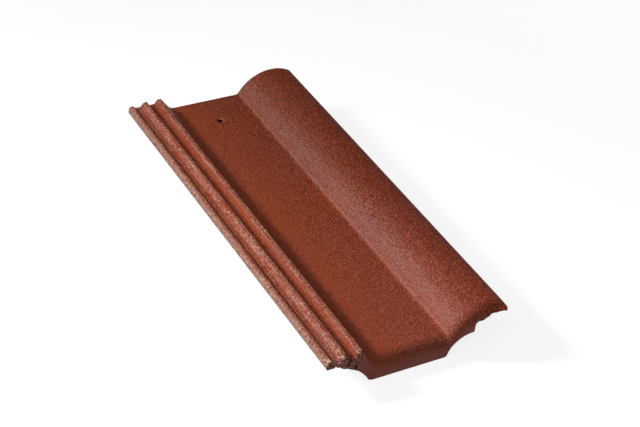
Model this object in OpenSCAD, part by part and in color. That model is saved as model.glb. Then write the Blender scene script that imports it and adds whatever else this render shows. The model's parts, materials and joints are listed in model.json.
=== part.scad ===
// Half roof tile of extruded concrete: three interlock ribs, one flat pan, one roll with its overlock.
// The nose (front) faces -Y, the head +Y and the roll +X. The tile lies on the floor at Z = 0.

/* [Tile] */
// Length from the nose to the head
tile_length = 420; // [300:1:480]
// Height of the pan's face above the floor, which is the thickness of the nose
nose_height = 19.6; // [17:0.2:24]
// Thickness of the pan behind the nose bar
pan_thickness = 11; // [9:0.5:14]
// Width of the flat pan between the interlock's slope and the roll
pan_width = 77; // [60:0.5:110]

/* [Interlock] */
// Height of the channel floors above the pan
channel_rise = 10; // [8:0.5:14]
// Height of the ribs above the channel floors
rib_height = 4.6; // [3:0.2:6]
// How much lower the outer rib is than the other two
outer_rib_drop = 1.8; // [0:0.1:2]
// Distance from rib to rib
rib_pitch = 15.3; // [13:0.1:19]
// Width of a rib's flat top
rib_top = 4.2; // [3:0.1:6]
// Sideways run of a rib's flank
rib_flank = 2.7; // [1.5:0.1:3.5]
// Radius on the ribs' upper edges
rib_round = 1.4; // [0.4:0.1:1.5]
// Radius on the outer rib's outer edge
outer_round = 2.6; // [1:0.1:3.2]
// Distance from the outer edge to the middle of the outer rib
outer_rib_x = 2.7; // [2.2:0.1:4]
// Thickness of the outer flange under the first channel
flange_thickness = 5.2; // [4:0.1:6]
// Width of the level underside of the outer flange
flange_width = 10; // [8:0.5:14]
// Sideways run of the slope from the third rib down to the pan
slope_run = 11.5; // [10:0.5:16]
// Radius at the foot of that slope
slope_fillet = 9; // [4:0.5:12]
// How much tighter the interlock's arched underside is curved than the roll
lap_inset = 3; // [1:0.5:5]
// How far the interlock is cut back from the nose
interlock_setback = 3; // [1:0.5:8]

/* [Roll] */
// Width of the roll at the level of the pan
roll_width = 75.5; // [62:0.5:84]
// Height of the roll's crest above the ribs that it covers
roll_rise = 8.5; // [8:0.1:12]
// Thickness of the roll's wall
roll_wall = 12; // [9.5:0.5:13]
// Radius of the fillet between the pan and the roll
crease_fillet = 3.5; // [1:0.5:8]

/* [Overlock] */
// Clearance above the ribs of the next tile
lap_gap = 0.6; // [0.4:0.1:1.5]
// Sideways play between the overlock and the edge of the next tile
side_play = 3; // [1:0.5:4]
// How much larger the fillet beside the next tile's outer edge is than that edge's radius
wall_ease = 1.9; // [1:0.1:3]
// Depth of the overlock ridge that hangs in the next tile's first channel
ridge_depth = 3.2; // [2:0.1:3.6]
// Width of that ridge at its tip
ridge_tip = 3.2; // [2:0.1:4]
// Depth of the lip below the overlock's ceiling
lip_depth = 0.8; // [0.4:0.1:1.5]
// Width of the lip at its tip
lip_width = 3.6; // [2.5:0.1:5]
// Gap between the lip and the middle of the next tile's third rib
lip_gap = 1.9; // [1.5:0.1:4]
// Radius in plan at the lip's corner on the nose
lip_corner = 4; // [1:0.5:8]

/* [Nose and head] */
// Radius of the rounded nose
nose_round = 12; // [6:0.5:14]
// Share of that rounding which the ends of the ribs get
rib_end_share = 0.5; // [0:0.05:0.7]
// Least height of the nose's front edge where the overlock is thin
nose_edge = 2.2; // [1.5:0.1:2.8]
// Depth of the bar under the nose, from front to back
bar_depth = 24; // [18:1:40]
// Height of the arch that the nose bar leaves under the roll
arch_height = 20.5; // [16:0.5:23]
// Radius of that arch
arch_radius = 26; // [24:0.5:32]
// Diameter of the nail hole
nail_d = 5.5; // [4:0.5:8]
// Width of the worn rim round the nail hole
nail_rim = 0.8; // [0.4:0.1:1.5]
// Distance of the nail hole from the head
nail_from_head = 38.5; // [30:0.5:60]
// Distance of the nib's bearing face from the head
nib_from_head = 22; // [18:0.5:28]
// Length of the nib at its tip, along the tile
nib_tip = 9; // [6:0.5:12]
// Run of the nib's sloping back
nib_slope = 6; // [2:0.5:8]
// Width of the nib, across the tile
nib_width = 44; // [24:1:56]

/* [Hidden] */

// Straight steps on each round stretch
corner_steps = 4;
roll_steps = 40;
arch_steps = 14;
nose_steps = 7;
// Sides of the round cutters
round_sides = 64;
// Radius on the small edges
small_round = 0.8;
// How far joined lengths and cuts run into or past each other
overlap = 1;
// Height at which a cut that takes nothing away passes over the face
cut_lift = 0.1;

// Heights above the floor
pan_z = nose_height;
under_z = pan_z - pan_thickness;
floor_z = pan_z + channel_rise;
crest_z = floor_z + rib_height;
outer_crest_z = crest_z - outer_rib_drop;
flange_z = floor_z - flange_thickness;
ceiling_z = crest_z + lap_gap;
lip_z = ceiling_z - lip_depth;
roll_top_z = crest_z + roll_rise;
cut_top = roll_top_z + overlap;

// Places across the tile, measured from the outer edge of the interlock
rib_x = [for (i = [0:2]) outer_rib_x + i * rib_pitch];
half_top = rib_top / 2;
half_foot = half_top + rib_flank;
slope_x = rib_x[2] + half_top;
pan_left = slope_x + slope_run;
crease_x = pan_left + pan_width;
roll_height = roll_top_z - pan_z;
roll_r = (pow(roll_width / 2, 2) + pow(roll_height, 2)) / (2 * roll_height);
roll_x = crease_x + roll_width / 2;
roll_z = roll_top_z - roll_r;
inner_r = roll_r - roll_wall;
cover_width = pan_width + roll_width;
wall_x = cover_width - side_play;
lip_x = cover_width + rib_x[2] - lip_gap;
tile_width = lip_x;

// Points of an arc from angle a to angle b
function arc(cx, cz, r, a, b, steps) =
    [for (k = [0:steps]) let (t = a + (b - a) * k / steps) [cx + r * cos(t), cz + r * sin(t)]];

// An outline's corner, rounded by its radius, between the points before and after it
function rounded(before, at, after, r) =
    let (
        u = (before - at) / norm(before - at),
        v = (after - at) / norm(after - at),
        half = acos(u * v) / 2,
        middle = at + (u + v) / norm(u + v) * r / sin(half),
        from = at + u * r / tan(half) - middle,
        to = at + v * r / tan(half) - middle,
        a = atan2(from.y, from.x),
        turn = atan2(to.y, to.x) - a,
        sweep = turn > 180 ? turn - 360 : turn < -180 ? turn + 360 : turn
    )
    arc(middle.x, middle.y, r, a, a + sweep, corner_steps);

// A run of [x, z, radius] corners as plain points; its two end points only give the direction
function run(corners) =
    [
        for (i = [1:len(corners) - 2])
            let (before = corners[i - 1], at = corners[i], after = corners[i + 1])
            each at.z == 0
                ? [[at.x, at.y]]
                : rounded([before.x, before.y], [at.x, at.y], [after.x, after.y], at.z)
    ];

// Corners of the three ribs, the two channels and the slope, from the outer edge to the pan
rib_corners = [
    [overlap, flange_z, 0],
    [0, flange_z, small_round],
    [0, outer_crest_z, outer_round],
    [rib_x[0] + half_top, outer_crest_z, rib_round],
    [rib_x[0] + half_foot, floor_z, small_round],
    [rib_x[1] - half_foot, floor_z, small_round],
    [rib_x[1] - half_top, crest_z, rib_round],
    [rib_x[1] + half_top, crest_z, rib_round],
    [rib_x[1] + half_foot, floor_z, small_round],
    [rib_x[2] - half_foot, floor_z, small_round],
    [rib_x[2] - half_top, crest_z, rib_round],
    [slope_x, crest_z, rib_round],
    [pan_left, pan_z, slope_fillet],
    [crease_x, pan_z, 0]
];

// The fillet that leads from the pan into the roll, and the roll's arc as far as the lip
fillet_z = pan_z + crease_fillet;
fillet_x = roll_x - sqrt(pow(roll_r + crease_fillet, 2) - pow(fillet_z - roll_z, 2));
flank_angle = atan2(fillet_z - roll_z, fillet_x - roll_x);
lip_angle = acos((lip_x - roll_x) / roll_r);
roll_face = concat(
    arc(fillet_x, fillet_z, crease_fillet, -90, flank_angle - 180, arch_steps),
    [for (k = [1:roll_steps]) let (t = flank_angle + (lip_angle - flank_angle) * k / roll_steps)
        [roll_x + roll_r * cos(t), roll_z + roll_r * sin(t)]]
);
upper_face = concat(run(rib_corners), roll_face);

// Corners of the overlock's underside, from the lip to the wall beside the next tile
ridge_x = cover_width + (rib_x[0] + rib_x[1]) / 2;
flank_run = rib_flank / rib_height;
ridge_z = ceiling_z - ridge_depth;
ridge_root = ridge_tip / 2 + ridge_depth * flank_run;
outer_ceiling_z = outer_crest_z + lap_gap;
outer_root = ridge_tip / 2 + (outer_ceiling_z - ridge_z) * flank_run;
overlock_corners = [
    [lip_x, roll_top_z, 0],
    [lip_x, lip_z, small_round],
    [lip_x - lip_width, lip_z, small_round],
    [lip_x - lip_width - lip_depth, ceiling_z, small_round],
    [ridge_x + ridge_root, ceiling_z, small_round],
    [ridge_x + ridge_tip / 2, ridge_z, small_round],
    [ridge_x - ridge_tip / 2, ridge_z, small_round],
    [ridge_x - outer_root, outer_ceiling_z, 0],
    [wall_x, outer_ceiling_z, outer_round + wall_ease],
    [wall_x, 0, 0]
];
overlock = run(overlock_corners);

// The interlock's underside: an arc over the neighbour's roll, then a chamfer up to the flange
lap_x = roll_x - cover_width;
lap_z = roll_z - nose_height;
lap_r = roll_r - lap_inset;
chamfer_x = 2 * flange_width;
function lap_angle(x) = acos((x - lap_x) / lap_r);
function lap_foot(z) = asin((z - lap_z) / lap_r);
function interlock_underside(z) =
    concat(
        arc(lap_x, lap_z, lap_r, lap_foot(z), lap_angle(chamfer_x), arch_steps),
        [[flange_width, flange_z]]
    );

// Underside behind the nose bar, and underside of the bar itself, both from the wall to the flange
inner_angle = 180 - asin((under_z - roll_z) / inner_r);
wall_angle = acos((wall_x - roll_x) / inner_r);
body_underside = concat(
    overlock,
    arc(roll_x, roll_z, inner_r, wall_angle, inner_angle, arch_steps),
    interlock_underside(under_z)
);
arch_x = wall_x - 2 * small_round;
arch_z = arch_height - arch_radius;
nose_underside = concat(
    overlock,
    [[wall_x, arch_height + small_round]],
    arc(arch_x, arch_z, arch_radius, 90, 180 + asin(arch_z / arch_radius), arch_steps),
    interlock_underside(0)
);

// The face that the rounded nose leaves: a drop that fades out over the ribs and stops at the thin overlock
nose_heights = [for (i = [len(nose_underside) - 1:-1:0]) nose_underside[i]];
round_face = concat(
    [[rib_x[0], outer_crest_z]],
    [for (p = upper_face) if (p.x > rib_x[0]) p],
    [[lip_x + overlap, upper_face[len(upper_face) - 1].y]]
);
nose_shares = [
    [rib_x[0], 0],
    [rib_x[1], rib_end_share],
    [slope_x, rib_end_share],
    [slope_x + rib_flank, 1]
];
function lowest(x) = lookup(min(x, lip_x - small_round), nose_heights) + nose_edge;
function lowered(p, drop) =
    max(p.y + cut_lift - (drop + cut_lift) * lookup(p.x, nose_shares), min(p.y + cut_lift, lowest(p.x)));
function cutter_ring(y, heights) =
    [
        for (i = [0:len(round_face) - 1]) [round_face[i].x, y, heights[i]],
        for (i = [len(round_face) - 1:-1:0]) [round_face[i].x, y, cut_top]
    ];

// A length of the tile with one section, from y0 to y1
module length_of_tile(outline, y0, y1) {
    translate([0, y1, 0])
        rotate([90, 0, 0])
            linear_extrude(y1 - y0)
                polygon(outline);
}

// What is cut away above the rounded nose, lofted through rings that climb a quarter circle
module nose_cut() {
    turns = [for (k = [0:nose_steps - 1]) 90 * k / nose_steps];
    rings = concat(
        [cutter_ring(-overlap, [for (p = round_face) lowered(p, nose_round)])],
        [
            for (t = turns)
                cutter_ring(
                    nose_round * (1 - cos(t)),
                    [for (p = round_face) lowered(p, nose_round * (1 - sin(t)))]
                )
        ],
        [cutter_ring(nose_round, [for (p = round_face) p.y + cut_lift])]
    );
    last = len(rings) - 1;
    count = len(rings[0]);
    corner = function (k, i) k * count + i % count;
    columns = [for (i = [0:count / 2 - 2]) [i, i + 1, count - 2 - i, count - 1 - i]];
    front = [for (c = columns) [c[3], c[2], c[1], c[0]]];
    back = [for (c = columns) [for (i = c) corner(last, i)]];
    sides = [
        for (k = [0:last - 1], i = [0:count - 1])
            each [
                [corner(k, i), corner(k + 1, i + 1), corner(k + 1, i)],
                [corner(k, i), corner(k, i + 1), corner(k + 1, i + 1)]
            ]
    ];
    polyhedron([for (ring = rings) each ring], concat(front, back, sides), convexity = 8);
}

// What is cut away where the interlock ends short of the nose
module interlock_cut() {
    translate([0, 0, -overlap])
        linear_extrude(cut_top + overlap)
            polygon([
                [-overlap, -overlap],
                [-overlap, interlock_setback],
                [slope_x, interlock_setback],
                [pan_left, 0],
                [pan_left, -overlap]
            ]);
}

// What is cut away outside the round corner of the lip
module lip_corner_cut() {
    translate([lip_x - lip_corner, 0, 0])
        difference() {
            translate([0, -overlap, 0])
                cube([lip_corner + overlap, lip_corner + overlap, cut_top]);
            translate([0, lip_corner, -overlap])
                cylinder(r = lip_corner, h = cut_top + 2 * overlap, $fn = round_sides);
        }
}

// The nib that hooks over the batten, with an upright bearing face towards the nose
module nib() {
    nib_y = tile_length - nib_from_head;
    nib_x = pan_left + (pan_width - nib_width) / 2;
    translate([nib_x, 0, 0])
        rotate([90, 0, 90])
            linear_extrude(nib_width)
                polygon([
                    [nib_y, 0],
                    [nib_y + nib_tip, 0],
                    [nib_y + nib_tip + nib_slope, under_z + overlap],
                    [nib_y, under_z + overlap]
                ]);
}

// The nail hole in the middle of the pan, with its worn rim
module nail_hole() {
    translate([pan_left + pan_width / 2, tile_length - nail_from_head, 0]) {
        cylinder(d = nail_d, h = cut_top, $fn = round_sides);
        translate([0, 0, pan_z - nail_rim])
            cylinder(d1 = nail_d, d2 = nail_d + 4 * nail_rim, h = 2 * nail_rim, $fn = round_sides);
    }
}

module tile() {
    color("sienna")
        translate([-tile_width / 2, -tile_length / 2, 0])
            difference() {
                union() {
                    length_of_tile(concat(upper_face, nose_underside), 0, bar_depth);
                    length_of_tile(concat(upper_face, body_underside), bar_depth, tile_length);
                    nib();
                }
                nose_cut();
                interlock_cut();
                lip_corner_cut();
                nail_hole();
            }
}

tile();
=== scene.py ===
# Half roof tile of coated concrete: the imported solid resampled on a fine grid, roughened, coloured and lit
import json
import math

import bpy
from mathutils import Matrix, Vector

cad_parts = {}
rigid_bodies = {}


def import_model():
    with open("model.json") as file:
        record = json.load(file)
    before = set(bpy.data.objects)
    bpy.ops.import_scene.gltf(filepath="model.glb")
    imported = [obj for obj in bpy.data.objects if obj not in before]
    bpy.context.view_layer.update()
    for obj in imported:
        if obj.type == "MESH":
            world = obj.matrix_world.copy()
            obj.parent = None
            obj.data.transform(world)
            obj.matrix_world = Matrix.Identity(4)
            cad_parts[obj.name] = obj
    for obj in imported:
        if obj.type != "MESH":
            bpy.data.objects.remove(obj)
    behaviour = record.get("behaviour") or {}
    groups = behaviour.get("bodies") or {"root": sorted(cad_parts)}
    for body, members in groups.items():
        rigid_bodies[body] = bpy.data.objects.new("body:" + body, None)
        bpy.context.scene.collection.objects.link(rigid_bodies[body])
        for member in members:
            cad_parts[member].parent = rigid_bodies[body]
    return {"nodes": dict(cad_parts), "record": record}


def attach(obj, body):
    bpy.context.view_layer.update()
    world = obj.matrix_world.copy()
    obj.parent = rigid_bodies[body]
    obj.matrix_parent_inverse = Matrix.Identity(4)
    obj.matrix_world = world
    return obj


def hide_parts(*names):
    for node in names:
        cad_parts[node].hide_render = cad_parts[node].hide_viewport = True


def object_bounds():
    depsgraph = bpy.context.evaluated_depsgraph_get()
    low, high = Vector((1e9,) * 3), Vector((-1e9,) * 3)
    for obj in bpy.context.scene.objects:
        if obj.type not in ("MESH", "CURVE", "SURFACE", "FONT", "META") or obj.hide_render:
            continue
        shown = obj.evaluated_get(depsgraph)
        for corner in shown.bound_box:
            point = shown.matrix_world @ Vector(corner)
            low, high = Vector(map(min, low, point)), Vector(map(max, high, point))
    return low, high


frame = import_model()
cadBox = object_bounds()
mm = 0.001
record = frame["record"]
mounts = {mount["name"]: Vector(mount["pos_m"]) for mount in record["mounts"]}
openings = {opening["name"]: opening["box_m"] for opening in record["physics"]["openings"]}
low, high = cadBox
width, length, height = high - low
print("frame loaded, tile", [round(side / mm, 1) for side in (width, length, height)], "mm")


# Places on the tile's section that the look and the body both use
sectionSizes = {
    "lastRib": 7.3,     # mm from the inner channel to where the last rib's top ends
    "rollFoot": 39.5,   # mm from the nail hole to the foot of the roll
    "ribHeight": 4.2,   # mm from the clear part of a channel to the crests of the ribs
}
nail = mounts["nail_hole"]
innerLow, innerHigh = openings["inner_channel"]
landmarks = {
    "leftEdge": low.x,
    "ribEnd": innerHigh[0] + sectionSizes["lastRib"] * mm,
    "nailHole": nail.x,
    "rollFoot": nail.x + sectionSizes["rollFoot"] * mm,
    "overlock": openings["overlock_rebate"][0][0],     # its upright wall, under the roll
    "crest": innerLow[2] + sectionSizes["ribHeight"] * mm,
}


def addNode(tree, kind, settings=None, inputs=None):
    # one node with its settings; an input is a number, a socket or a node, whose first live output is used
    node = tree.nodes.new(kind)
    for name, value in (settings or {}).items():
        setattr(node, name, value)
    for key, value in (inputs or {}).items():
        if isinstance(key, int):
            socket = node.inputs[key]
        else:
            socket = next(s for s in node.inputs if s.enabled and s.name == key)
        if isinstance(value, bpy.types.Node):
            value = next(s for s in value.outputs if s.enabled)
        if isinstance(value, bpy.types.NodeSocket):
            tree.links.new(value, socket)
        else:
            socket.default_value = value
    return node


def linear(hexColour):
    # sRGB hex to linear, with alpha 1
    parts = [int(hexColour[i:i + 2], 16) / 255 for i in (1, 3, 5)]
    return tuple(c / 12.92 if c <= 0.04045 else ((c + 0.055) / 1.055) ** 2.4 for c in parts) + (1.0,)


# Coated concrete: mortar pressed wet through a die and sprayed with a satin acrylic. It shows a brown-red
# colour, a sandy grain that sparkles where light grazes it, ribs scuffed to the pale mortar and a torn,
# pitted end
concreteLook = {
    "coat": "#9f4118",              # orange-brown of the pan
    "coatDeep": "#98432b",          # maroon, in drifts, on the roll as partly a painted sheen, and toward the nose
    "scuffed": "#c49180",           # mortar that shows through on the ribs
    "bareMortar": "#b28574",        # outer rib, rubbed bare
    "broken": "#b27465",            # torn mortar at the nose end of the ribs
    "pitShade": "#1c0f0b",          # painted shade in the pits of the torn end and inside the nail hole
    "freshChip": "#e8d2c4",         # clean mortar where the ribs' ends are chipped
    "driftSize": 80,                # mm; slow changes of the coat
    "driftRange": (0.35, 0.65),     # of the noise, from none of the maroon to the most
    "driftDeep": 0.6,               # share of the maroon in a drift
    "noseDeep": 0.6,                # more of it toward the nose
    # across the tile: landmark, mm from it where a change begins and ends, value before and after
    "across": {
        "rollDeepAndSheen": ("rollFoot", -1, 6, 0.0, 0.38),     # more of the maroon on the roll, partly a painted sheen
        "interlockShade": ("ribEnd", -1, 1, 0.88, 1.0),          # the coat's brightness, lower between the ribs as painted shade
        "outerSideLight": ("overlock", 8, 22, 1.0, 1.2),     # and higher on the outer side of the roll as painted light
        "grainShown": ("nailHole", -20, 30, 0.4, 1.0),  # the grain; the coat is thick beside the ribs
        "specular": ("ribEnd", -1, 1, 0.08, 0.28),      # bare mortar is matt
        "sheenLeft": ("overlock", -5, 17, 1.0, 0.08),   # the outer side of the roll is dull
    },
    "lightFalloff": (1.08, 0.72),           # painted shade: the coat's brightness beside the ribs and at the head end of the roll
    "lightFalloffRun": (-64, 60),           # mm across the tile between the two
    "lightFalloffTurn": (0.17, 4.0),        # share of the way along that counts too, and its growth per m across
    "grainSize": 1.0,               # mm; the real sand is finer, this is what one pixel can show
    "grainShade": (0.71, 1.62),     # darkest and lightest grain
    "grainTint": ("#cf9884", 0.13), # colour of the light grains, and how much of it shows
    "grainSpread": 2.6,             # the higher, the fewer light ones
    "mortarGrain": 0.7,             # share of the grain on bare mortar
    "sandSize": 1.8,                # mm; bumps that catch the light
    "sandRelief": 0.9,              # mm
    "mottleSize": 2.4,              # mm
    "streakSize": 2.2,              # mm across a streak of the die
    "streakLength": 26,             # mm along it
    "wear": (                       # mask, colour, and where in the streaked mottle it starts and is full
        ("ribWear", "scuffed", 0.8, 1.45),
        ("outerRib", "bareMortar", 0.5, 1.1),
        ("endChip", "freshChip", 0.9, 1.1),
    ),
    "creaseHighlight": (0.9, 0.12),      # painted highlight, a pale line at the foot of the roll: mm of half width, strength
    "noseScuff": (17, 0.3, 0.35),   # a spot: mm of reach, share of it that is full, strength
    "noseScuffAt": (1, -192),       # mm across and along
    "nailChips": (4.4, 0.75, 0.7),  # a spot
    "chipShift": 0.9,               # mm; the chips lie to the right of the nail hole
    "chipRange": (0.42, 0.55),      # of the mottle, from no chip to a full one
    "holeShade": (3.3, 0.87, 0.9),   # painted shade inside the nail hole: a spot
    "roughness": (0.42, 0.64),
    "specks": (                     # colour, spacing and radius in mm, share of the places filled, strength
        ("#d4aa9a", 1.7, 0.65, 0.30, 0.32),
        ("#2a120c", 2.0, 0.70, 0.28, 0.70),
        ("#e0c0b0", 5.5, 0.85, 0.16, 0.35),
    ),
    "rubbedSpecks": (               # the same, on the ribs and the scuffed nose
        ("#f6ddd2", 2.0, 1.0, 0.32, 0.85),
        ("#2e140e", 2.3, 1.1, 0.36, 1.0),
        ("#2a120d", 5.0, 1.3, 0.25, 1.0),
    ),
}


def makeConcrete():
    look = concreteLook
    material = bpy.data.materials.new("coatedConcrete")
    material.use_nodes = True
    tree = material.node_tree
    tree.nodes.clear()
    coords = addNode(tree, "ShaderNodeTexCoord").outputs["Object"]
    place = addNode(tree, "ShaderNodeSeparateXYZ", None, {"Vector": coords}).outputs
    marks = {}
    for name in ("ribWear", "outerRib", "torn", "pit", "endChip"):
        marks[name] = addNode(tree, "ShaderNodeAttribute", {"attribute_name": name}).outputs["Fac"]
    across = {}
    for name, (landmark, begin, end, before, after) in look["across"].items():
        begin, end = [landmarks[landmark] + value * mm for value in (begin, end)]
        across[name] = addNode(tree, "ShaderNodeMapRange", None,
                               {"Value": place["X"], "From Min": begin, "From Max": end,
                                "To Min": before, "To Max": after})

    def around(x, y, spot):
        # a round spot seen from above
        reach, core, strength = spot
        centred = addNode(tree, "ShaderNodeMapping", {"vector_type": "POINT"},
                          {"Vector": coords, "Location": (-x, -y, 0.0), "Scale": (1.0, 1.0, 0.0)})
        away = addNode(tree, "ShaderNodeVectorMath", {"operation": "LENGTH"}, {0: centred}).outputs["Value"]
        return addNode(tree, "ShaderNodeMapRange", None,
                       {"Value": away, "From Min": core * reach * mm, "From Max": reach * mm,
                        "To Min": strength, "To Max": 0.0})

    # slow drift of the coat's colour
    drift = addNode(tree, "ShaderNodeTexNoise", None,
                    {"Vector": coords, "Scale": 1 / (look["driftSize"] * mm), "Detail": 3.0})
    least, most = look["driftRange"]
    deep = addNode(tree, "ShaderNodeMapRange", None,
                   {"Value": drift, "From Min": least, "From Max": most, "To Max": look["driftDeep"]})
    towardNose = addNode(tree, "ShaderNodeMapRange", None,
                         {"Value": place["Y"], "From Min": 0.0, "From Max": low.y,
                          "To Max": look["noseDeep"]})
    # on the roll the maroon is partly a painted sheen
    for more in (towardNose, across["rollDeepAndSheen"]):
        deep = addNode(tree, "ShaderNodeMath", {"operation": "ADD", "use_clamp": True}, {0: deep, 1: more})
    colour = addNode(tree, "ShaderNodeMix", {"data_type": "RGBA"},
                     {"Factor": deep, "A": linear(look["coat"]), "B": linear(look["coatDeep"])})

    # painted shade of the lamps' falloff: the coat grows darker from the ribs to the roll, and a little
    # toward the head
    turnShare, turnGrowth = look["lightFalloffTurn"]
    turn = addNode(tree, "ShaderNodeMath", {"operation": "MULTIPLY_ADD"},
                   {0: place["X"], 1: turnGrowth, 2: turnShare})
    slant = addNode(tree, "ShaderNodeMath", {"operation": "MULTIPLY_ADD"},
                    {0: place["Y"], 1: turn, 2: place["X"]})
    lightFalloff = addNode(tree, "ShaderNodeMapRange", None,
                   {"Value": slant, "From Min": look["lightFalloffRun"][0] * mm, "From Max": look["lightFalloffRun"][1] * mm,
                    "To Min": look["lightFalloff"][0], "To Max": look["lightFalloff"][1]})
    # painted light and shade: the coat times its falloff, darker between the ribs and lighter on the roll's
    # outer side
    for factor in (lightFalloff, across["interlockShade"], across["outerSideLight"]):
        colour = addNode(tree, "ShaderNodeMix", {"data_type": "RGBA", "blend_type": "MULTIPLY"},
                         {"Factor": 1.0, "A": colour, "B": factor})

    # grain: each cell a darker or lighter bead of sand under the coat
    grains = addNode(tree, "ShaderNodeTexVoronoi", None,
                     {"Vector": coords, "Scale": 1 / (look["grainSize"] * mm)})
    tone = addNode(tree, "ShaderNodeSeparateColor", None, {"Color": grains.outputs["Color"]})
    tone = addNode(tree, "ShaderNodeMath", {"operation": "POWER"}, {0: tone, 1: look["grainSpread"]})
    dark, light = look["grainShade"]
    grainShade = addNode(tree, "ShaderNodeMapRange", None, {"Value": tone, "To Min": dark, "To Max": light})
    colour = addNode(tree, "ShaderNodeMix", {"data_type": "RGBA", "blend_type": "MULTIPLY"},
                     {"Factor": across["grainShown"], "A": colour, "B": grainShade})
    tint, strength = look["grainTint"]
    tinted = addNode(tree, "ShaderNodeMath", {"operation": "MULTIPLY"}, {0: tone, 1: strength})
    colour = addNode(tree, "ShaderNodeMix", {"data_type": "RGBA"},
                     {"Factor": tinted, "A": colour, "B": linear(tint)})

    # ribs: scuffed pale in streaks along the die, the outer one rubbed bare
    mottle = addNode(tree, "ShaderNodeTexNoise", None,
                     {"Vector": coords, "Scale": 1 / (look["mottleSize"] * mm),
                      "Detail": 2.0, "Roughness": 0.6})
    stretch = addNode(tree, "ShaderNodeMapping", {"vector_type": "POINT"},
                      {"Vector": coords, "Scale": (1.0, look["streakSize"] / look["streakLength"], 1.0)})
    streak = addNode(tree, "ShaderNodeTexNoise", None,
                     {"Vector": stretch, "Scale": 1 / (look["streakSize"] * mm),
                      "Detail": 2.0, "Roughness": 0.6})
    streaked = addNode(tree, "ShaderNodeMath", {"operation": "ADD"}, {0: mottle, 1: streak})
    for mark, paint, start, full in look["wear"]:
        patchy = addNode(tree, "ShaderNodeMapRange", None,
                         {"Value": streaked, "From Min": start, "From Max": full})
        scuff = addNode(tree, "ShaderNodeMath", {"operation": "MULTIPLY"}, {0: patchy, 1: marks[mark]})
        shade = addNode(tree, "ShaderNodeMix", {"data_type": "RGBA", "blend_type": "MULTIPLY"},
                        {"Factor": look["mortarGrain"], "A": linear(look[paint]), "B": grainShade})
        colour = addNode(tree, "ShaderNodeMix", {"data_type": "RGBA"},
                         {"Factor": scuff, "A": colour, "B": shade})

    # painted highlight: a pale line along the foot of the roll
    halfWidth, strength = look["creaseHighlight"]
    aside = addNode(tree, "ShaderNodeMath", {"operation": "SUBTRACT"},
                    {0: place["X"], 1: landmarks["rollFoot"]})
    aside = addNode(tree, "ShaderNodeMath", {"operation": "ABSOLUTE"}, {0: aside})
    line = addNode(tree, "ShaderNodeMapRange", None,
                   {"Value": aside, "From Min": 0.0, "From Max": halfWidth * mm,
                    "To Min": strength, "To Max": 0.0})
    colour = addNode(tree, "ShaderNodeMix", {"data_type": "RGBA"},
                     {"Factor": line, "A": colour, "B": linear(look["scuffed"])})

    # specks: one round dot in some of the cells, the last ones only where the tile is rubbed
    noseX, noseY = look["noseScuffAt"]
    rubbed = around(noseX * mm, noseY * mm, look["noseScuff"])
    for name in ("ribWear", "outerRib"):
        rubbed = addNode(tree, "ShaderNodeMath", {"operation": "MAXIMUM"}, {0: rubbed, 1: marks[name]})
    for mask, specks in ((None, look["specks"]), (rubbed, look["rubbedSpecks"])):
        for paint, spacing, radius, share, strength in specks:
            cells = addNode(tree, "ShaderNodeTexVoronoi", None,
                            {"Vector": coords, "Scale": 1 / (spacing * mm)})
            pick = addNode(tree, "ShaderNodeSeparateColor", None, {"Color": cells.outputs["Color"]})
            chosen = addNode(tree, "ShaderNodeMath", {"operation": "LESS_THAN"}, {0: pick, 1: share})
            near = addNode(tree, "ShaderNodeMapRange", None,
                           {"Value": cells.outputs["Distance"], "From Min": 0.0, "From Max": radius / spacing,
                            "To Min": strength, "To Max": 0.0})
            dot = addNode(tree, "ShaderNodeMath", {"operation": "MULTIPLY"}, {0: chosen, 1: near})
            if mask:
                dot = addNode(tree, "ShaderNodeMath", {"operation": "MULTIPLY"}, {0: dot, 1: mask})
            colour = addNode(tree, "ShaderNodeMix", {"data_type": "RGBA"},
                             {"Factor": dot, "A": colour, "B": linear(paint)})

    # torn end: bare dark mortar, with painted shade in its pits
    for mark, paint in (("torn", "broken"), ("pit", "pitShade")):
        shade = addNode(tree, "ShaderNodeMix", {"data_type": "RGBA", "blend_type": "MULTIPLY"},
                        {"Factor": 1.0, "A": linear(look[paint]), "B": grainShade})
        colour = addNode(tree, "ShaderNodeMix", {"data_type": "RGBA"},
                         {"Factor": marks[mark], "A": colour, "B": shade})

    # nail hole: coat chipped to the mortar in patches round the rim, and painted shade inside
    chipped = around(nail.x + look["chipShift"] * mm, nail.y, look["nailChips"])
    start, full = look["chipRange"]
    patchy = addNode(tree, "ShaderNodeMapRange", None, {"Value": mottle, "From Min": start, "From Max": full})
    chips = addNode(tree, "ShaderNodeMath", {"operation": "MULTIPLY"}, {0: chipped, 1: patchy})
    for mask, paint in ((chips, "bareMortar"), (around(nail.x, nail.y, look["holeShade"]), "pitShade")):
        colour = addNode(tree, "ShaderNodeMix", {"data_type": "RGBA"},
                         {"Factor": mask, "A": colour, "B": linear(look[paint])})

    # sheen, and the sand's bumps
    smooth, rough = look["roughness"]
    roughness = addNode(tree, "ShaderNodeMapRange", None, {"Value": tone, "To Min": smooth, "To Max": rough})
    specular = addNode(tree, "ShaderNodeMath", {"operation": "MULTIPLY"},
                       {0: across["specular"], 1: across["sheenLeft"]})
    sand = addNode(tree, "ShaderNodeTexNoise", None,
                   {"Vector": coords, "Scale": 1 / (look["sandSize"] * mm), "Detail": 1.0})
    bump = addNode(tree, "ShaderNodeBump", None,
                   {"Strength": 1.0, "Distance": look["sandRelief"] * mm, "Height": sand})
    shader = addNode(tree, "ShaderNodeBsdfPrincipled", None,
                     {"Base Color": colour, "Roughness": roughness, "IOR": 1.5,
                      "Specular IOR Level": specular, "Normal": bump})
    addNode(tree, "ShaderNodeOutputMaterial", None, {"Surface": shader})
    return material


concrete = makeConcrete()
print("material made")


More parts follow.
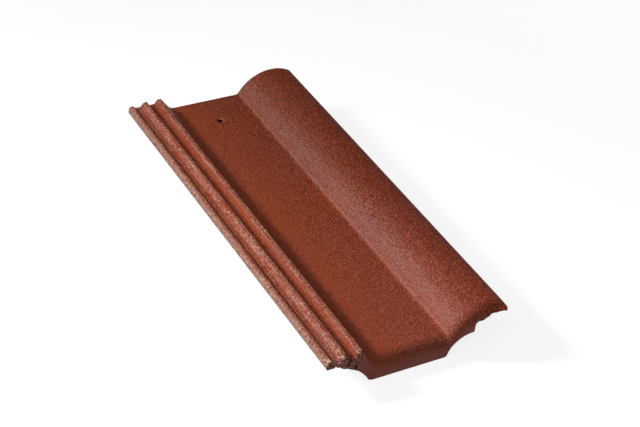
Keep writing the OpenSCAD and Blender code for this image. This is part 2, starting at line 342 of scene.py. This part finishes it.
# The tile's body: a grid laid over the solid, dropped on its upper face and lifted on its underside
tileSizes = {
    "seed": 3.0,
    "columns": 177,
    "columnShares": (0.36, 0.2, 0.44),  # of the columns on the interlock, the pan and the roll
    "rows": 214,
    "wallSteps": 20,                # rows of faces on the outer walls
    "inset": 0.02,                  # mm kept inside the solid's outline, so that every ray meets it
    "merge": 0.001,                 # mm within which points become one
    "noseRun": 24,                  # mm of nose on which the rows crowd together
    "panHalf": 38.5,                # mm from the nail hole to either side of the pan
    "nibHalf": 22,                  # mm from the middle of the nib to its sides
    "barClear": 0.5,                # mm from the back of the nose bar to the batten's space
    "edgeGap": 0.03,                # mm from an upright face of the underside to the points beside it
    "wallBack": 20,                 # mm behind the nose where the height of the front wall is read
    "wallShare": 0.25,              # of that height, where the front is looked for
    "faceRelief": 0.12,             # mm
    "faceGrain": 6,                 # mm
    "ribRelief": 0.35,              # mm
    "ribGrain": 4,                  # mm across the tile
    "ribSquash": 0.3,               # pace of the pattern along it, so that the waves are long
    "tornDepth": 2.2,               # mm
    "tornGrain": 2.8,               # mm
    "tornReach": 3.6,               # mm that the break climbs over the edge
    "tornRange": (0.4, 0.65),       # of the noise, from no climb to the full reach
    "tornFade": 0.4,                # mm; soft edge of the break
    "pitRange": (0.545, 0.61),      # of the noise, from no pit to a full one
    "endChipRun": (2, 7),           # mm behind the front over which the chips on the ribs' ends fade
    "raggedDepth": 2.6,             # mm
    "raggedGrain": 7,               # mm
    "raggedRange": (0.35, 0.7),     # of the noise, from no bite to the deepest
    "raggedStart": 4,               # mm from the overlock's wall to where the bites are full
    "burrDepth": 3.8,               # mm of mortar hanging below the broken edge, next to the overlock's wall
    "burrGain": 1.8,                # makes up for the noise, which is about a half
    "burrRun": 5,                   # mm along the tile
    "burrStart": (-1, 0.5),         # mm from the overlock's wall
    "burrWidth": 9,                 # mm
    "burrFade": 3,                  # mm more, over which it ends
    # axis, landmark, mm from it where a change begins and ends, value before and after
    "masks": {
        "onCrest": ("Z", "crest", -7.5, -1.5, 0.0, 1.0),    # the ribs are worn near their crests
        "onTop": ("Z", "crest", -2.8, -0.4, 0.0, 0.85),     # the last one only on its top
        "onRibs": ("X", "ribEnd", 0, 1, 1.0, 0.0),
        "onOuterRib": ("X", "leftEdge", 0.3, 5, 1.0, 0.0),
        "onInterlock": ("X", "ribEnd", -2, 2, 1.0, 0.0),
    },
    "wornSide": (-0.3, 0.4, 0.5),   # sideways part of the normal where wear is full and least, and the least; less away from the lamp, partly painted shade
    "bareSide": (-0.7, 0.0, 0.75),  # the same on the outer rib, also partly painted shade
    "nailRim": 0.8,                 # mm; worn rim round the nail hole
    "nailSides": 40,
    "nailClear": 6,                 # mm round the nail hole where the height is taken from further on
    "nailPast": 14,                 # mm further on, toward the nose
}


def bodyTree(solid):
    size = tileSizes
    tree = bpy.data.node_groups.new("tileBody", "GeometryNodeTree")
    bore = next(mount["dims"] for mount in record["mounts"] if mount["name"] == "nail_hole")
    values = {
        "solid": ("NodeSocketObject", solid),
        "columns": ("NodeSocketInt", size["columns"]),
        "rows": ("NodeSocketInt", size["rows"]),
        "seed": ("NodeSocketFloat", size["seed"]),
        "nailRadius": ("NodeSocketFloat", bore["r_mm"] * mm),
    }
    for name in ("nailRim", "noseRun", "faceRelief", "faceGrain", "ribRelief", "ribGrain", "tornDepth",
                 "tornGrain", "tornReach", "raggedDepth", "raggedGrain", "burrDepth", "burrRun", "burrWidth"):
        values[name] = ("NodeSocketFloat", size[name] * mm)
    for name, (kind, value) in values.items():
        tree.interface.new_socket(name, in_out="INPUT", socket_type=kind)
    tree.interface.new_socket("Geometry", in_out="OUTPUT", socket_type="NodeSocketGeometry")
    inputs = addNode(tree, "NodeGroupInput").outputs

    solidMesh = addNode(tree, "GeometryNodeObjectInfo", None, {"Object": inputs["solid"]}).outputs["Geometry"]
    inset = size["inset"] * mm
    farOff = 1.0                    # m above or below the tile, where the rays start
    up, down, toHead = (0, 0, 1), (0, 0, -1), (0, 1, 0)

    def meets(x, y, z, way, axis):
        # where a ray meets the solid, on one axis
        source = addNode(tree, "ShaderNodeCombineXYZ", None, {"X": x, "Y": y, "Z": z})
        ray = addNode(tree, "GeometryNodeRaycast", None,
                      {"Target Geometry": solidMesh, "Source Position": source, "Ray Direction": way,
                       "Ray Length": 2 * farOff})
        hit = addNode(tree, "ShaderNodeSeparateXYZ", None, {"Vector": ray.outputs["Hit Position"]})
        return hit.outputs[axis]

    def grainAt(spot, grainName):
        # noise with grains of a named size
        perGrain = addNode(tree, "ShaderNodeMath", {"operation": "DIVIDE"}, {0: 1.0, 1: inputs[grainName]})
        return addNode(tree, "ShaderNodeTexNoise", {"noise_dimensions": "4D"},
                       {"Vector": spot, "W": inputs["seed"], "Scale": perGrain, "Detail": 2.0})

    grid = addNode(tree, "GeometryNodeMeshGrid", None,
                   {"Size X": 1.0, "Size Y": 1.0, "Vertices X": inputs["columns"],
                    "Vertices Y": inputs["rows"]}).outputs["Mesh"]

    # walls: the face of the grid extruded in place, each step a level between underside and upper face
    shell, top = grid, True
    for step in range(1, size["wallSteps"] + 1):
        extrude = addNode(tree, "GeometryNodeExtrudeMesh", {"mode": "FACES"},
                          {"Mesh": shell, "Selection": top, "Offset Scale": 0.0, "Individual": False})
        top = extrude.outputs["Top"]
        shell = addNode(tree, "GeometryNodeStoreNamedAttribute", {"data_type": "FLOAT", "domain": "POINT"},
                        {"Geometry": extrude.outputs["Mesh"], "Selection": top, "Name": "level",
                         "Value": step / size["wallSteps"]})
    under = addNode(tree, "GeometryNodeFlipFaces", None, {"Mesh": grid})
    joined = addNode(tree, "GeometryNodeJoinGeometry")
    for part in (shell, under):
        tree.links.new(part.outputs[0], joined.inputs[0])

    # columns: each stretch of the width takes its own share of them; the grid runs from -0.5 to 0.5
    place = addNode(tree, "ShaderNodeSeparateXYZ", None,
                    {"Vector": addNode(tree, "GeometryNodeInputPosition")}).outputs
    panHalf = size["panHalf"] * mm
    stops = [low.x + inset, nail.x - panHalf, nail.x + panHalf, high.x - inset]
    across = addNode(tree, "ShaderNodeMath", {"operation": "ADD"}, {0: place["X"], 1: 0.5})
    x, begin = stops[0], 0.0
    for i, share in enumerate(size["columnShares"]):
        stretch = addNode(tree, "ShaderNodeMapRange", None,
                          {"Value": across, "From Min": begin, "From Max": begin + share,
                           "To Min": 0.0, "To Max": stops[i + 1] - stops[i]})
        x = addNode(tree, "ShaderNodeMath", {"operation": "ADD"}, {0: x, 1: stretch})
        begin += share

    # rows crowd on the nose, where the face turns down: y = s * s / (2 run) at first, then y = s - run / 2
    total = addNode(tree, "ShaderNodeMath", {"operation": "MULTIPLY_ADD"},
                    {0: inputs["noseRun"], 1: 0.5, 2: length - 2 * inset})
    share = addNode(tree, "ShaderNodeMath", {"operation": "ADD"}, {0: place["Y"], 1: 0.5})
    along = addNode(tree, "ShaderNodeMath", {"operation": "MULTIPLY"}, {0: share, 1: total})
    square = addNode(tree, "ShaderNodeMath", {"operation": "MULTIPLY"}, {0: along, 1: along})
    twice = addNode(tree, "ShaderNodeMath", {"operation": "MULTIPLY"}, {0: inputs["noseRun"], 1: 2.0})
    crowded = addNode(tree, "ShaderNodeMath", {"operation": "DIVIDE"}, {0: square, 1: twice})
    even = addNode(tree, "ShaderNodeMath", {"operation": "MULTIPLY_ADD"},
                   {0: inputs["noseRun"], 1: -0.5, 2: along})
    onNose = addNode(tree, "ShaderNodeMath", {"operation": "LESS_THAN"}, {0: along, 1: inputs["noseRun"]})
    run = addNode(tree, "GeometryNodeSwitch", {"input_type": "FLOAT"},
                  {"Switch": onNose, "False": even, "True": crowded})
    y = addNode(tree, "ShaderNodeMath", {"operation": "ADD"}, {0: run, 1: low.y})

    # the columns and rows next to an upright face of the underside close up on it
    barBack = openings["batten_space"][0][1] - size["barClear"] * mm
    nibSides = [nail.x - size["nibHalf"] * mm, nail.x + size["nibHalf"] * mm]
    columnStep = 2 * panHalf / (size["columnShares"][1] * size["columns"])
    rowStep = length / size["rows"]
    snapped = []
    for value, edges, step in ((x, nibSides, columnStep), (y, [barBack, mounts["nib_bearing"].y], rowStep)):
        for edge in edges:
            off = addNode(tree, "ShaderNodeMath", {"operation": "SUBTRACT"}, {0: value, 1: edge})
            side = addNode(tree, "ShaderNodeMath", {"operation": "SIGN"}, {0: off})
            beside = addNode(tree, "ShaderNodeMath", {"operation": "MULTIPLY_ADD"},
                             {0: side, 1: size["edgeGap"] * mm, 2: edge})
            far = addNode(tree, "ShaderNodeMath", {"operation": "ABSOLUTE"}, {0: off})
            close = addNode(tree, "ShaderNodeMath", {"operation": "LESS_THAN"}, {0: far, 1: step})
            value = addNode(tree, "GeometryNodeSwitch", {"input_type": "FLOAT"},
                            {"Switch": close, "False": value, "True": beside})
        snapped.append(value)
    x, y = snapped

    # how far each column's front lies behind the nose: a ray along the tile, low on its wall
    behindNose = low.y + size["wallBack"] * mm
    lowOnWall = addNode(tree, "ShaderNodeMix", {"data_type": "FLOAT"},
                        {"Factor": size["wallShare"], "A": meets(x, behindNose, -farOff, up, "Z"),
                         "B": meets(x, behindNose, farOff, down, "Z")})
    front = meets(x, low.y - length, lowOnWall, toHead, "Y")

    # the overlock's edge on the nose is broken off unevenly
    wall = landmarks["overlock"]
    bites = grainAt(addNode(tree, "ShaderNodeCombineXYZ", None, {"X": x, "Y": 0.0, "Z": 0.0}), "raggedGrain")
    least, most = size["raggedRange"]
    bite = addNode(tree, "ShaderNodeMapRange", None,
                   {"Value": bites, "From Min": least, "From Max": most, "To Max": inputs["raggedDepth"]})
    onOverlock = addNode(tree, "ShaderNodeMapRange", None,
                         {"Value": x, "From Min": wall, "From Max": wall + size["raggedStart"] * mm})
    ragged = addNode(tree, "ShaderNodeMath", {"operation": "MULTIPLY"}, {0: bite, 1: onOverlock})
    front = addNode(tree, "ShaderNodeMath", {"operation": "ADD"}, {0: front, 1: ragged})
    edge = addNode(tree, "ShaderNodeMath", {"operation": "ADD"}, {0: front, 1: inset})
    y = addNode(tree, "ShaderNodeMath", {"operation": "MAXIMUM"}, {0: y, 1: edge})
    y = addNode(tree, "ShaderNodeMath", {"operation": "MINIMUM"}, {0: y, 1: high.y - inset})

    # drop to the upper face and lift to the underside; round the nail hole, the height is taken further on
    spot = addNode(tree, "ShaderNodeCombineXYZ", None, {"X": x, "Y": y, "Z": nail.z})
    fromNail = addNode(tree, "ShaderNodeVectorMath", {"operation": "DISTANCE"}, {0: spot, 1: nail})
    byNail = addNode(tree, "ShaderNodeMath", {"operation": "LESS_THAN"},
                     {0: fromNail.outputs["Value"], 1: size["nailClear"] * mm})
    past = addNode(tree, "ShaderNodeMath", {"operation": "MULTIPLY_ADD"},
                   {0: byNail, 1: -size["nailPast"] * mm, 2: y})
    underside = meets(x, past, -farOff, up, "Z")
    upperFace = meets(x, past, farOff, down, "Z")

    # a burr hangs below the broken edge, beside the overlock's wall
    behind = addNode(tree, "ShaderNodeMath", {"operation": "SUBTRACT"}, {0: y, 1: front})
    hang = addNode(tree, "ShaderNodeMapRange", None,
                   {"Value": behind, "From Min": 0.0, "From Max": inputs["burrRun"],
                    "To Min": inputs["burrDepth"], "To Max": 0.0})
    pastWall = addNode(tree, "ShaderNodeMath", {"operation": "SUBTRACT"}, {0: x, 1: wall})
    burrEnd = addNode(tree, "ShaderNodeMath", {"operation": "ADD"},
                      {0: inputs["burrWidth"], 1: size["burrFade"] * mm})
    begin, full = size["burrStart"]
    started = addNode(tree, "ShaderNodeMapRange", None,
                      {"Value": pastWall, "From Min": begin * mm, "From Max": full * mm})
    ended = addNode(tree, "ShaderNodeMapRange", None,
                    {"Value": pastWall, "From Min": inputs["burrWidth"], "From Max": burrEnd,
                     "To Min": 1.0, "To Max": 0.0})
    for share in (started, ended, bites, size["burrGain"]):
        hang = addNode(tree, "ShaderNodeMath", {"operation": "MULTIPLY"}, {0: hang, 1: share})
    underside = addNode(tree, "ShaderNodeMath", {"operation": "SUBTRACT"}, {0: underside, 1: hang})

    level = addNode(tree, "GeometryNodeInputNamedAttribute", {"data_type": "FLOAT"}, {"Name": "level"})
    z = addNode(tree, "ShaderNodeMix", {"data_type": "FLOAT"},
                {"Factor": level, "A": underside, "B": upperFace})
    target = addNode(tree, "ShaderNodeCombineXYZ", None, {"X": x, "Y": y, "Z": z})
    body = addNode(tree, "GeometryNodeStoreNamedAttribute", {"data_type": "FLOAT", "domain": "POINT"},
                   {"Geometry": joined, "Name": "behindFront", "Value": behind})
    body = addNode(tree, "GeometryNodeSetPosition", None, {"Geometry": body, "Position": target})
    body = addNode(tree, "GeometryNodeMergeByDistance", None,
                   {"Geometry": body, "Distance": size["merge"] * mm})

    # masks: worn ribs, the outer rib, the torn end of the interlock, its pits and the chips beside it
    spot = addNode(tree, "GeometryNodeInputPosition")
    place = addNode(tree, "ShaderNodeSeparateXYZ", None, {"Vector": spot}).outputs
    normal = addNode(tree, "GeometryNodeInputNormal")
    rightward = addNode(tree, "ShaderNodeSeparateXYZ", None, {"Vector": normal}).outputs["X"]
    masks = {}
    for name, (axis, landmark, begin, end, before, after) in size["masks"].items():
        begin, end = [landmarks[landmark] + value * mm for value in (begin, end)]
        masks[name] = addNode(tree, "ShaderNodeMapRange", None,
                              {"Value": place[axis], "From Min": begin, "From Max": end,
                               "To Min": before, "To Max": after})
    for name in ("wornSide", "bareSide"):
        begin, end, after = size[name]
        masks[name] = addNode(tree, "ShaderNodeMapRange", None,
                              {"Value": rightward, "From Min": begin, "From Max": end,
                               "To Min": 1.0, "To Max": after})
    onLast = addNode(tree, "ShaderNodeMapRange", None,
                     {"Value": place["X"], "From Min": innerLow[0], "From Max": innerHigh[0]})
    # the ribs' wear, less on the sides that face away from the lamp: partly real wear, partly painted shade
    ribWear = addNode(tree, "ShaderNodeMath", {"operation": "MULTIPLY"},
                      {0: masks["onCrest"], 1: masks["wornSide"]})
    ribWear = addNode(tree, "ShaderNodeMix", {"data_type": "FLOAT"},
                      {"Factor": onLast, "A": ribWear, "B": masks["onTop"]})
    ribWear = addNode(tree, "ShaderNodeMath", {"operation": "MULTIPLY"}, {0: ribWear, 1: masks["onRibs"]})
    outerRib = addNode(tree, "ShaderNodeMath", {"operation": "MULTIPLY"},
                       {0: masks["onOuterRib"], 1: masks["bareSide"]})
    behind = addNode(tree, "GeometryNodeInputNamedAttribute", {"data_type": "FLOAT"}, {"Name": "behindFront"})
    holes = grainAt(spot, "tornGrain")
    least, most = size["tornRange"]
    climb = addNode(tree, "ShaderNodeMapRange", None,
                    {"Value": holes, "From Min": least, "From Max": most, "To Max": inputs["tornReach"]})
    beyond = addNode(tree, "ShaderNodeMath", {"operation": "SUBTRACT"}, {0: behind, 1: climb})
    onEnd = addNode(tree, "ShaderNodeMapRange", None,
                    {"Value": beyond, "From Min": 0.0, "From Max": size["tornFade"] * mm,
                     "To Min": 1.0, "To Max": 0.0})
    torn = addNode(tree, "ShaderNodeMath", {"operation": "MULTIPLY"}, {0: onEnd, 1: masks["onInterlock"]})
    least, most = size["pitRange"]
    hollow = addNode(tree, "ShaderNodeMapRange", None, {"Value": holes, "From Min": least, "From Max": most})
    pit = addNode(tree, "ShaderNodeMath", {"operation": "MULTIPLY"}, {0: hollow, 1: torn})
    begin, end = size["endChipRun"]
    atEnd = addNode(tree, "ShaderNodeMapRange", None,
                    {"Value": behind, "From Min": begin * mm, "From Max": end * mm,
                     "To Min": 1.0, "To Max": 0.0})
    endChip = addNode(tree, "ShaderNodeMath", {"operation": "MULTIPLY"}, {0: atEnd, 1: ribWear})
    marks = {"ribWear": ribWear, "outerRib": outerRib, "torn": torn, "pit": pit, "endChip": endChip}
    for name, mark in marks.items():
        body = addNode(tree, "GeometryNodeStoreNamedAttribute", {"data_type": "FLOAT", "domain": "POINT"},
                       {"Geometry": body, "Name": name, "Value": mark})

    # relief: every face sinks a little, the ribs in long waves and the torn end in pits
    faceWave = grainAt(spot, "faceGrain")
    squashed = addNode(tree, "ShaderNodeVectorMath", {"operation": "MULTIPLY"},
                       {0: spot, 1: (1, size["ribSquash"], 1)})
    ribWave = grainAt(squashed, "ribGrain")
    sink = 0.0
    for depthName, wave, markName in (("faceRelief", faceWave, None), ("ribRelief", ribWave, "ribWear"),
                                      ("tornDepth", None, "pit")):
        depth = inputs[depthName]
        if wave:
            depth = addNode(tree, "ShaderNodeMath", {"operation": "MULTIPLY"}, {0: wave, 1: depth})
        if markName:
            mark = addNode(tree, "GeometryNodeInputNamedAttribute", {"data_type": "FLOAT"},
                           {"Name": markName})
            depth = addNode(tree, "ShaderNodeMath", {"operation": "MULTIPLY"}, {0: depth, 1: mark})
        sink = addNode(tree, "ShaderNodeMath", {"operation": "ADD"}, {0: sink, 1: depth})
    inward = addNode(tree, "ShaderNodeMath", {"operation": "MULTIPLY"}, {0: sink, 1: -1.0})
    offset = addNode(tree, "ShaderNodeVectorMath", {"operation": "SCALE"}, {0: normal, "Scale": inward})
    body = addNode(tree, "GeometryNodeSetPosition", None, {"Geometry": body, "Offset": offset})

    # nail hole, with its worn rim: a cone at 45 degrees, which starts inside the hole and stands half a side
    # round from the drill, so that no edge of the one lies on the other
    sides, rimSize = size["nailSides"], size["nailRim"] * mm
    panFace = nail.z + 0.5 * bore["length_mm"] * mm + rimSize
    drill = addNode(tree, "GeometryNodeMeshCylinder", None,
                    {"Vertices": sides, "Radius": inputs["nailRadius"], "Depth": 2 * height}).outputs["Mesh"]
    drill = addNode(tree, "GeometryNodeTransform", None, {"Geometry": drill, "Translation": nail})
    rimFoot = addNode(tree, "ShaderNodeMath", {"operation": "SUBTRACT"},
                      {0: inputs["nailRadius"], 1: inputs["nailRim"]})
    rimTop = addNode(tree, "ShaderNodeMath", {"operation": "MULTIPLY_ADD"},
                     {0: inputs["nailRim"], 1: 2.0, 2: inputs["nailRadius"]})
    rimDepth = addNode(tree, "ShaderNodeMath", {"operation": "MULTIPLY"}, {0: inputs["nailRim"], 1: 3.0})
    rim = addNode(tree, "GeometryNodeMeshCone", None,
                  {"Vertices": sides, "Radius Top": rimTop, "Radius Bottom": rimFoot,
                   "Depth": rimDepth}).outputs["Mesh"]
    rim = addNode(tree, "GeometryNodeTransform", None,
                  {"Geometry": rim, "Translation": (nail.x, nail.y, panFace - 2 * rimSize),
                   "Rotation": (0.0, 0.0, math.pi / sides)})
    for cutter in (drill, rim):
        cut = addNode(tree, "GeometryNodeMeshBoolean", {"operation": "DIFFERENCE"})
        tree.links.new(body.outputs[0], cut.inputs[0])
        tree.links.new(cutter.outputs[0], cut.inputs[1])
        body = cut

    body = addNode(tree, "GeometryNodeSetShadeSmooth", None, {"Geometry": body})
    body = addNode(tree, "GeometryNodeRealizeInstances", None, {"Geometry": body})
    body = addNode(tree, "GeometryNodeSetMaterial", None, {"Geometry": body, "Material": concrete})
    addNode(tree, "NodeGroupOutput", None, {"Geometry": body})
    return tree, {name: value for name, (kind, value) in values.items()}


def plainMesh(name, tree, values):
    # evaluate the tree once and keep its result as a plain mesh at the origin
    carrier = bpy.data.objects.new(name + "Carrier", bpy.data.meshes.new(name + "Carrier"))
    bpy.context.scene.collection.objects.link(carrier)
    modifier = carrier.modifiers.new("nodes", "NODES")
    modifier.node_group = tree
    for item in tree.interface.items_tree:
        if item.in_out == "INPUT":
            modifier[item.identifier] = values[item.name]
    graph = bpy.context.evaluated_depsgraph_get()
    mesh = bpy.data.meshes.new_from_object(carrier.evaluated_get(graph), preserve_all_data_layers=True,
                                           depsgraph=graph)
    carrier.modifiers.remove(modifier)
    bpy.data.objects.remove(carrier)
    mesh.name = name
    piece = bpy.data.objects.new(name, mesh)
    bpy.context.scene.collection.objects.link(piece)
    return piece


tile = plainMesh("concreteTile", *bodyTree(frame["nodes"]["tile"]))
triangles = sum(len(face.vertices) - 2 for face in tile.data.polygons)
print("tile body:", len(tile.data.vertices), "points,", triangles, "triangles")
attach(tile, "root")
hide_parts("tile")


# Camera at the photograph's place, given by where it looks and its angles
cameraView = {
    "target": (12.8, -5.6, 20.0),   # mm
    "azimuth": -32.86,              # degrees, like the next two
    "elevation": 36.65,
    "roll": -6.81,
    "distance": 1585.3,             # mm
    "lens": 93.31,                  # mm
    "sensor": 36.0,                 # mm wide
}


def addCamera():
    look = cameraView
    data = bpy.data.cameras.new("camera")
    data.lens = look["lens"]
    data.sensor_fit = "HORIZONTAL"
    data.sensor_width = look["sensor"]
    camera = bpy.data.objects.new("camera", data)
    turn = (Matrix.Rotation(math.radians(look["azimuth"]), 4, "Z")
            @ Matrix.Rotation(math.radians(90 - look["elevation"]), 4, "X")
            @ Matrix.Rotation(math.radians(-look["roll"]), 4, "Z"))
    back = turn.to_3x3() @ Vector((0, 0, look["distance"] * mm))
    camera.matrix_world = Matrix.Translation(Vector(look["target"]) * mm + back) @ turn
    bpy.context.scene.collection.objects.link(camera)
    bpy.context.scene.camera = camera


addCamera()


# White floor, dim room, a soft lamp low on the left behind the tile and a large weak one above it
studio = {
    "floorSize": 8.0,           # m
    "floorColour": "#959595",
    "floorGlow": (0.84, 1.0),   # what the camera sees on top of the light: by the tile and far off
    "glowRun": (0.45, 1.2),     # m from the tile's middle
    "roomLight": 0.11,          # light from all round
    "backdrop": 1.0,            # what the camera sees of it, where 1 is white
    "lamps": {                  # place and aim in m, size in m, power in W, spread in degrees
        "key": ((-1.5, 1.1, 1.08), (0.0, -0.6, 0.0), 0.4, 6.0, 58),
        "overhead": ((-0.35, -0.8, 1.8), (0.0, 0.0, 0.0), 1.6, 7.4, 180),
    },
}


def addStudio():
    white = linear("#ffffff")
    bpy.ops.mesh.primitive_plane_add(size=studio["floorSize"], location=(0, 0, 0))
    floor = bpy.context.object
    floor.name = "floor"
    paper = bpy.data.materials.new("whitePaper")
    paper.use_nodes = True
    tree = paper.node_tree
    tree.nodes.clear()
    path = addNode(tree, "ShaderNodeLightPath").outputs
    seen = path["Is Camera Ray"]
    for kind in ("Is Glossy Ray", "Is Transmission Ray"):
        seen = addNode(tree, "ShaderNodeMath", {"operation": "ADD", "use_clamp": True},
                       {0: seen, 1: path[kind]})
    away = addNode(tree, "ShaderNodeVectorMath", {"operation": "LENGTH"},
                   {0: addNode(tree, "ShaderNodeTexCoord").outputs["Object"]})
    (near, far), (nearGlow, farGlow) = studio["glowRun"], studio["floorGlow"]
    glow = addNode(tree, "ShaderNodeMapRange", None,
                   {"Value": away.outputs["Value"], "From Min": near, "From Max": far,
                    "To Min": nearGlow, "To Max": farGlow})
    glow = addNode(tree, "ShaderNodeMath", {"operation": "MULTIPLY"}, {0: seen, 1: glow})
    shader = addNode(tree, "ShaderNodeBsdfPrincipled", None,
                     {"Base Color": linear(studio["floorColour"]), "Roughness": 1.0,
                      "Specular IOR Level": 0.0, "Emission Color": white, "Emission Strength": glow})
    addNode(tree, "ShaderNodeOutputMaterial", None, {"Surface": shader})
    floor.data.materials.append(paper)

    world = bpy.data.worlds.new("studio")
    bpy.context.scene.world = world
    world.use_nodes = True
    tree = world.node_tree
    tree.nodes.clear()
    path = addNode(tree, "ShaderNodeLightPath").outputs
    strength = addNode(tree, "ShaderNodeMix", {"data_type": "FLOAT"},
                       {"Factor": path["Is Camera Ray"], "A": studio["roomLight"], "B": studio["backdrop"]})
    backdrop = addNode(tree, "ShaderNodeBackground", None, {"Color": white, "Strength": strength})
    addNode(tree, "ShaderNodeOutputWorld", None, {"Surface": backdrop})

    for name, (place, aim, size, power, spread) in studio["lamps"].items():
        lamp = bpy.data.lights.new(name, "AREA")
        lamp.energy = power
        lamp.size = size
        lamp.spread = math.radians(spread)
        holder = bpy.data.objects.new(name, lamp)
        holder.location = place
        holder.rotation_euler = (Vector(place) - Vector(aim)).to_track_quat("Z", "Y").to_euler()
        bpy.context.scene.collection.objects.link(holder)


addStudio()
bpy.context.scene.view_settings.view_transform = "Standard"
print("camera, floor and light set")
